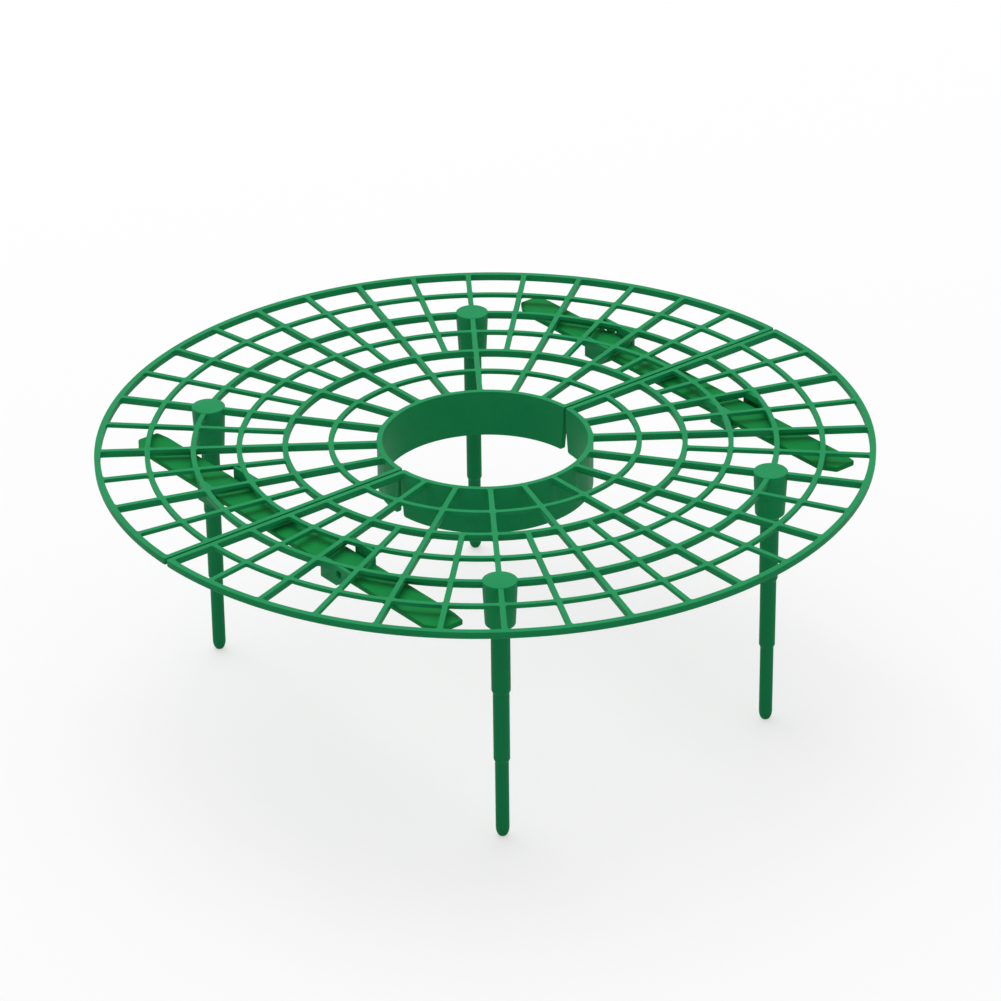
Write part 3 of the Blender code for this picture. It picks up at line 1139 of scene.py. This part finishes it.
@dataclass
class Trough:
    """The open trough under the grid that a bar slides through, from a spoke outwards.

    Near the spoke the inner wall is only a shallow strip, which starts at strip_low. With a long
    wall, the outer wall runs on to the short spoke, wall_bays from the seam, while its lower edge
    slopes up by end_height, and has a small hole.
    """

    side: Side
    bar_x: float
    bar_width: float
    bar_top: float
    bar_bottom: float
    top: float
    strip_low: float
    spoke_angle: float
    long_wall: bool
    length: float = 0.0125
    notch: float = 0.005
    wall: float = 0.0018
    floor: float = 0.0020
    side_play: float = 0.0005
    fit_gap: float = 0.0003
    gusset_length: float = 0.0044
    gusset_width: float = 0.0018
    web_depth: float = 0.0013
    web_inset: float = 0.00012
    hole_radius: float = 0.0015
    hole_distance: float = 0.0118
    hole_height: float = 0.0008
    hole_points: int = 24
    wall_bays: float = 1.5
    end_height: float = 0.0056
    edge_radius: float = 0.00028

    def mesh(self) -> Mesh:
        """Builds the trough: two walls and a floor.

        Returns:
            The closed mesh.
        """
        half = self.bar_width / 2 + self.side_play
        inner, outer = self.bar_x - half, self.bar_x + half
        slope = math.tan(self.spoke_angle)
        end = self.bar_x * slope + self.length
        floor_top = self.bar_bottom - self.fit_gap
        low = floor_top - self.floor
        near, far = inner - self.wall, outer + self.wall
        plan = [(near, near * slope), (far, far * slope)]
        notch_end = near * slope + self.notch
        room = self.wall
        channel = [(inner, 0.0), (outer, 0.0), (outer, 2 * end), (inner, 2 * end)]
        notch = [(near - room, 0.0), (outer, 0.0), (outer, notch_end), (near - room, notch_end)]
        cutters = [
            self.block(channel, floor_top, self.top + room),
            self.block(notch, low - room, self.strip_low),
        ]
        if self.long_wall:
            short = math.tan(self.wall_bays * self.spoke_angle)
            plan += [(far, far * short), (outer, outer * short), (outer, end), (near, end)]
            centre = (outer + self.wall / 2, outer * slope + self.hole_distance)
            cutters.append(self.hole(centre, self.bar_top + self.hole_height))
            cutters.append(self.slope_cutter(outer, end, outer * short, low))
        else:
            plan += [(far, end), (near, end)]
        walls = combined(self.block(plan, low, self.top), cutters, "DIFFERENCE")
        return rounded(walls, self.edge_radius)

    def slope_cutter(self, face: float, near: float, far: float, low: float) -> Mesh:
        """Builds the cutter for what is missing under the far part of a long wall.

        Args:
            face: The X of the wall's inner face, as it would be on the right.
            near: The Y at which the lower edge starts to slope up.
            far: The Y at which it is end_height higher.
            low: The foot of the trough.

        Returns:
            The closed mesh.
        """
        high = low + self.end_height
        margin = self.wall
        outline = [(near, low), (far, high), (far + 2 * margin, high)]
        outline += [(far + 2 * margin, low - margin), (near, low - margin)]
        places = (face - margin, face + self.wall + margin)
        sections = [[(self.side.value * x, y, z) for y, z in outline] for x in places]
        return lofted("slope", sections)

    def block(self, plan: list[Point2], low: float, high: float) -> Mesh:
        """Builds an upright block on this side of the support.

        Args:
            plan: Its outline as it would be on the right.
            low: Its foot.
            high: Its top.

        Returns:
            The closed mesh.
        """
        sections = [[(self.side.value * x, y, z) for x, y in plan] for z in (low, high)]
        return lofted("block", sections)

    def gussets(self) -> list[Mesh]:
        """Builds the thin webs in the corners between the walls and the spoke.

        Returns:
            A closed mesh for each wall.
        """
        half = self.bar_width / 2 + self.side_play
        slope = math.tan(self.spoke_angle)
        along = self.gusset_width * math.cos(self.spoke_angle)
        heights = (self.top - self.web_depth + self.web_inset, self.top - self.web_inset)
        webs = []
        for face in (self.bar_x - half, self.bar_x + half + self.wall):
            root = face - self.wall / 2
            corner = face * slope
            plan = [
                (root, root * slope),
                (face + along, (face + along) * slope),
                (face, corner + self.gusset_length),
                (root, corner + self.gusset_length),
            ]
            webs.append(self.block(plan, *heights))
        return webs

    def hole(self, centre: Point2, height: float) -> Mesh:
        """Builds the cutter for the cross hole in the outer wall.

        Args:
            centre: Its middle in plan, as it would be on the right.
            height: The height of its axis.

        Returns:
            The closed mesh.
        """
        shape = bmesh.new()
        turn = Euler((0.0, math.pi / 2, 0.0)).to_matrix().to_4x4()
        x, y = centre
        middle = Vector((self.side.value * x, y, height))
        bmesh.ops.create_cone(
            shape,
            cap_ends=True,
            segments=self.hole_points,
            radius1=self.hole_radius,
            radius2=self.hole_radius,
            depth=2 * self.wall,
            matrix=Matrix.Translation(middle) @ turn,
        )
        return finished_mesh("hole", shape)


@dataclass
class Grid:
    """The grid: the same moulding twice, once turned half a turn."""

    cap_rise: float = 0.0002
    socket_depth: float = 0.019
    socket_roof: float = 0.002
    fit_gap: float = 0.0003
    trough_drop: float = 0.0002
    long_wall_side: Side = Side.RIGHT

    def __post_init__(self) -> None:
        """Reads the sizes that the frame gives."""
        low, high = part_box("back_grid_half")
        self.top = high.z - self.cap_rise
        self.lattice = Lattice(radius=high.x, seam_gap=2 * low.y, top=self.top)
        self.collar = Collar(
            outer_radius=self.lattice.collar_radius,
            wall=self.lattice.collar_wall,
            seam_gap=self.lattice.seam_gap,
            low=low.z,
            high=self.top - self.lattice.slim_depth / 2,
            draft_top=self.top - self.lattice.deep_depth,
        )
        self.sockets = [self.socket(side) for side in Side]
        self.troughs = [self.trough(side) for side in Side]

    def socket(self, side: Side) -> Socket:
        """Sizes the back socket on one side from the stake that stands in it.

        Args:
            side: Left or right.

        Returns:
            The socket.
        """
        low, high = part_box(f"stake_back_{side.name.lower()}")
        return Socket(
            x=(low.x + high.x) / 2,
            y=(low.y + high.y) / 2,
            top=self.top + self.cap_rise,
            mouth=self.top - self.socket_depth,
            bore_radius=(high.x - low.x) / 2 + self.fit_gap,
            shoulder=high.z + self.fit_gap,
            roof=self.top - self.socket_roof,
        )

    def trough(self, side: Side) -> Trough:
        """Sizes the back trough on one side from the bar that slides through it.

        Args:
            side: Left or right.

        Returns:
            The trough.
        """
        low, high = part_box(f"joining_bar_{side.name.lower()}")
        return Trough(
            side=side,
            bar_x=abs(low.x + high.x) / 2,
            bar_width=high.x - low.x,
            bar_top=high.z,
            bar_bottom=low.z,
            top=self.top - self.trough_drop,
            strip_low=self.top - self.lattice.deep_depth + self.lattice.rib_inset,
            spoke_angle=math.pi / self.lattice.bays,
            long_wall=side is self.long_wall_side,
        )

    def moulding(self, plastic: Material) -> Mesh:
        """Joins the parts of the back moulding.

        Args:
            plastic: What it is made of.

        Returns:
            One closed mesh.
        """
        grid, ribs = self.lattice.meshes(plastic)
        bores = [socket.bore() for socket in self.sockets]
        parts = [combined(ribs, bores, "DIFFERENCE"), self.collar.mesh()]
        parts += [trough.mesh() for trough in self.troughs]
        parts += [web for trough in self.troughs for web in trough.gussets()]
        parts += [socket.mesh() for socket in self.sockets]
        return combined(grid, parts, "UNION")

    def build(self) -> None:
        """Makes both halves and dresses them."""
        plastic = GRID_GREEN.material()
        back = self.moulding(plastic)
        for end in End:
            mesh = turned_copy(back, end.value)
            name = end.name.lower()
            dress(f"{name}_grid_moulding", mesh, plastic, f"{name}_grid_half")
        bpy.data.meshes.remove(back)


@dataclass
class JoiningBar:
    """A flat bar that holds the halves together on one side.

    Both ends are cut back at the left corner and taper a little on the right.
    """

    side: Side
    cut_length: float = 0.006
    cut_width: float = 0.004
    taper_length: float = 0.0065
    taper_width: float = 0.001
    cut_corner: float = 0.0012
    tip_corner: float = 0.0009
    taper_corner: float = 0.006
    edge_radius: float = 0.00050
    edge_steps: int = 3

    def mesh(self) -> Mesh:
        """Builds the bar in the space that the frame gives it.

        Returns:
            The closed mesh.
        """
        low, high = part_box(self.node())
        half = (high.x - low.x) / 2
        tip = (high.y - low.y) / 2
        upper = [
            (half, tip - self.taper_length, self.taper_corner),
            (half - self.taper_width, tip, self.tip_corner),
            (self.cut_width - half, tip, self.cut_corner),
            (-half, tip - self.cut_length, self.cut_corner),
        ]
        lower = [(x, -y, radius) for x, y, radius in reversed(upper)]
        middle = (low + high) / 2
        plan = [(middle.x + x, middle.y + y) for x, y in filleted(upper + lower)]
        sections = [[(x, y, z) for x, y in plan] for z in (low.z, high.z)]
        return rounded(lofted("bar", sections), self.edge_radius, self.edge_steps)

    def node(self) -> str:
        """The name of the bar's node."""
        return f"joining_bar_{self.side.name.lower()}"

    def build(self, plastic: Material) -> None:
        """Makes the bar and dresses it."""
        name = f"{self.side.name.lower()}_bar_moulding"
        dress(name, self.mesh(), plastic, self.node())


@dataclass
class Stake:
    """A round stake in three thicknesses that is pushed into a socket and into the soil."""

    end: End
    side: Side
    middle_radius: float = 0.0031
    lower_radius: float = 0.0026
    first_step: float = 0.063
    second_step: float = 0.0335
    step_slope: float = 0.001
    head_rounding: float = 0.0004
    step_rounding: float = 0.0012
    rounding_steps: int = 6
    tip_length: float = 0.004
    tip_flat: float = 0.0008
    tip_points: int = 10
    steps: int = 64

    def tip(self, base: float) -> list[Point3]:
        """Places the points of the blunt tip.

        Args:
            base: The lowest height.

        Returns:
            Radii and heights from the top down, none of them rounded.
        """
        points = []
        for index in range(1, self.tip_points + 1):
            turn = index * math.pi / 2 / self.tip_points
            radius = self.tip_flat + (self.lower_radius - self.tip_flat) * math.cos(turn)
            points.append((radius, base + self.tip_length * (1 - math.sin(turn)), 0.0))
        return points

    def mesh(self) -> Mesh:
        """Builds the stake in the space that the frame gives it.

        Returns:
            The closed mesh.
        """
        low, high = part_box(self.node())
        radius = (high.x - low.x) / 2
        base, head = low.z, high.z
        first, second, soft = self.first_step, self.second_step, self.step_rounding
        corners = [
            (0.0, head, 0.0),
            (radius, head, self.head_rounding),
            (radius, base + first, soft),
            (self.middle_radius, base + first - self.step_slope, soft),
            (self.middle_radius, base + second, soft),
            (self.lower_radius, base + second - self.step_slope, soft),
            (self.lower_radius, base + self.tip_length, 0.0),
            *self.tip(base),
            (0.0, base, 0.0),
        ]
        mesh = turned("stake", filleted(corners, self.rounding_steps), self.steps)
        middle = (low + high) / 2
        mesh.transform(Matrix.Translation((middle.x, middle.y, 0.0)))
        return mesh

    def node(self) -> str:
        """The name of the stake's node."""
        return f"stake_{self.end.name.lower()}_{self.side.name.lower()}"

    def build(self, plastic: Material) -> None:
        """Makes the stake and dresses it."""
        name = f"{self.end.name.lower()}_{self.side.name.lower()}_stake_moulding"
        dress(name, self.mesh(), plastic, self.node())


@dataclass
class Studio:
    """A pale floor, a white surround and soft light from above."""

    floor_radius: float = 9.0
    floor_points: int = 96
    floor_colour: float = 0.94
    shadow_share: float = 0.45
    bounce_colour: float = 0.54
    ambient: float = 0.57
    lamp_size: float = 5.4
    lamp_place: Point3 = (0.875, 2.375, 5.75)
    lamp_power: float = 238.0

    def background_share(self, graph: Graph) -> NodeSocket:
        """The rays that see the white of the background.

        Args:
            graph: The material or world that asks.

        Returns:
            1 for camera, glossy and transmission rays, and 0 for the others.
        """
        path = graph.add("ShaderNodeLightPath").outputs
        seen = graph.math("MAXIMUM", path["Is Camera Ray"], path["Is Glossy Ray"])
        return graph.math("MAXIMUM", seen, path["Is Transmission Ray"])

    def floor(self) -> None:
        """Makes the floor, which shows white where no shadow falls and is clear from below."""
        shape = bmesh.new()
        bmesh.ops.create_circle(
            shape, cap_ends=True, radius=self.floor_radius, segments=self.floor_points
        )
        floor = place("studio_floor", finished_mesh("studio_floor", shape))
        material = bpy.data.materials.new("studio_floor")
        material.use_nodes = True
        graph = Graph(material.node_tree)
        graph.tree.nodes.remove(graph.tree.nodes["Principled BSDF"])
        seen = self.background_share(graph)
        tone = graph.between(self.bounce_colour, self.floor_colour, seen)
        diffuse = graph.add("ShaderNodeBsdfDiffuse", {"Color": tone})
        glow = graph.add("ShaderNodeEmission", {"Color": WHITE, "Strength": 1.0})
        share = graph.math("MULTIPLY", seen, 1.0 - self.shadow_share)
        feeds = {0: share, 1: diffuse.outputs[0], 2: glow.outputs[0]}
        lit = graph.add("ShaderNodeMixShader", feeds)
        clear = graph.add("ShaderNodeBsdfTransparent")
        under = graph.add("ShaderNodeNewGeometry").outputs["Backfacing"]
        feeds = {0: under, 1: lit.outputs[0], 2: clear.outputs[0]}
        whole = graph.add("ShaderNodeMixShader", feeds)
        graph.feed(graph.tree.nodes["Material Output"], {"Surface": whole.outputs[0]})
        floor.data.materials.append(material)

    def surround(self) -> None:
        """Makes the world: white where it is seen, and a low even light for the rest."""
        world = bpy.data.worlds.new("studio")
        world.use_nodes = True
        bpy.context.scene.world = world
        graph = Graph(world.node_tree)
        level = graph.between(self.ambient, 1.0, self.background_share(graph))
        feeds = {"Color": WHITE, "Strength": level}
        graph.feed(graph.tree.nodes["Background"], feeds)

    def lamp(self) -> None:
        """Hangs one large soft lamp over the support, a little behind it."""
        light = bpy.data.lights.new("overhead_softbox", "AREA")
        light.shape = "SQUARE"
        light.size = self.lamp_size
        light.energy = self.lamp_power
        lamp = bpy.data.objects.new("overhead_softbox", light)
        bpy.context.scene.collection.objects.link(lamp)
        lamp.location = self.lamp_place
        aim = Vector(self.lamp_place)
        lamp.rotation_euler = aim.to_track_quat("Z", "Y").to_euler()
        lamp.visible_camera = False

    def build(self) -> None:
        """Sets up the whole studio."""
        self.floor()
        self.surround()
        self.lamp()


@dataclass
class Viewpoint:
    """The camera, aimed past the centre of the grid's top. Angles are in degrees."""

    azimuth: float = -38.60
    elevation: float = 28.16
    roll: float = -0.65
    distance: float = 1.6696
    focal_pixels: float = 4340.7
    sensor_width: float = 36.0
    aside: float = -0.00593
    above: float = 0.02398

    def build(self, target: Vector) -> None:
        """Makes the camera.

        Args:
            target: The centre of the grid's top.
        """
        turn, rise = math.radians(self.azimuth), math.radians(self.elevation)
        level = math.cos(rise)
        back = Vector((math.sin(turn) * level, -math.cos(turn) * level, math.sin(rise)))
        across = Vector((math.cos(turn), math.sin(turn), 0.0))
        tilt = Matrix.Rotation(math.radians(self.roll), 3, back)
        right = tilt @ across
        upward = back.cross(right)
        data = bpy.data.cameras.new("camera")
        data.sensor_width = self.sensor_width
        data.lens = self.focal_pixels * self.sensor_width / PICTURE_WIDTH
        camera = bpy.data.objects.new("camera", data)
        bpy.context.scene.collection.objects.link(camera)
        place_at = target - self.aside * right - self.above * upward + self.distance * back
        axes = Matrix((right, upward, back)).transposed()
        camera.matrix_world = Matrix.Translation(place_at) @ axes.to_4x4()
        bpy.context.scene.camera = camera


def main() -> None:
    """Builds the support, the studio and the camera."""
    logging.basicConfig(level=logging.INFO, format="%(name)s: %(message)s")
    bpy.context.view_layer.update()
    grid = Grid()
    Viewpoint().build(Vector((0.0, 0.0, grid.top)))
    grid.build()
    bar_plastic = BAR_GREEN.material()
    for side in Side:
        JoiningBar(side).build(bar_plastic)
    stake_plastic = STAKE_GREEN.material()
    for end in End:
        for side in Side:
            Stake(end, side).build(stake_plastic)
    Studio().build()
    bpy.context.scene.view_settings.view_transform = "Standard"


if __name__ == "__main__":
    main()
